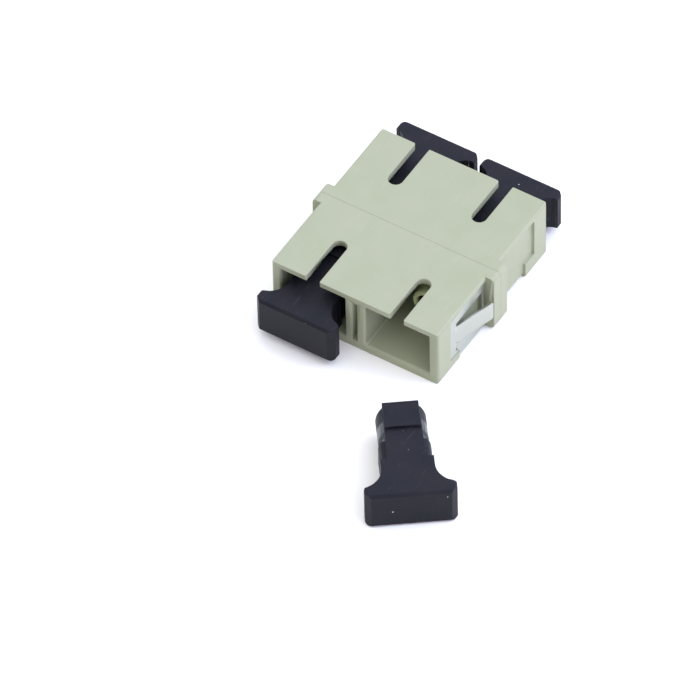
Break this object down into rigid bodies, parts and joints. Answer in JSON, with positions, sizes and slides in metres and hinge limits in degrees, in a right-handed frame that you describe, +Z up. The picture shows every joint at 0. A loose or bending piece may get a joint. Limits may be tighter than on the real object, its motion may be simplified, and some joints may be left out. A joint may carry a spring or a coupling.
{
  "type": "duplex sc fibre adapter with dust caps",
  "caption": "Beige duplex SC fibre adapter with small flange ears, a sprung steel mounting clip and black plug-in dust caps, one of them taken off beside it.",
  "frame": {"origin": "centre of the adapter's underside, in the plane where the two housing halves meet; the adapter stands on it", "axes": "+X to the right along the front mouths, +Y along the channels to the rear, +Z up out of the keyway side"},
  "size_m": [0.0405, 0.0568, 0.0094],
  "materials": {
    "housing_plastic": "fine satin moulding, greenish beige",
    "insert_plastic": "smooth satin moulding",
    "sleeve_bronze": "ground phosphor bronze",
    "clip_steel": "bright rolled stainless, satin",
    "cap_plastic": "satin blue-black moulding"
  },
  "bodies": {
    "adapter": {"housing_front": "housing_plastic", "housing_rear": "housing_plastic", "mounting_clip": "clip_steel", "insert_front_left": "insert_plastic", "insert_rear_left": "insert_plastic", "insert_front_right": "insert_plastic", "insert_rear_right": "insert_plastic", "sleeve_left": "sleeve_bronze", "sleeve_right": "sleeve_bronze", "cap_loose": "cap_plastic"},
    "front_left_cap": {"cap_front_left": "cap_plastic"},
    "rear_left_cap": {"cap_rear_left": "cap_plastic"},
    "rear_right_cap": {"cap_rear_right": "cap_plastic"}
  },
  "joints": [
    {"name": "front_left_cap_pull", "type": "slide", "parent": "adapter", "child": "front_left_cap", "axis": [0, -1, 0], "range_m": [0, 0.014]},
    {"name": "rear_left_cap_pull", "type": "slide", "parent": "adapter", "child": "rear_left_cap", "axis": [0, 1, 0], "range_m": [0, 0.014]},
    {"name": "rear_right_cap_pull", "type": "slide", "parent": "adapter", "child": "rear_right_cap", "axis": [0, 1, 0], "range_m": [0, 0.014]}
  ]
}
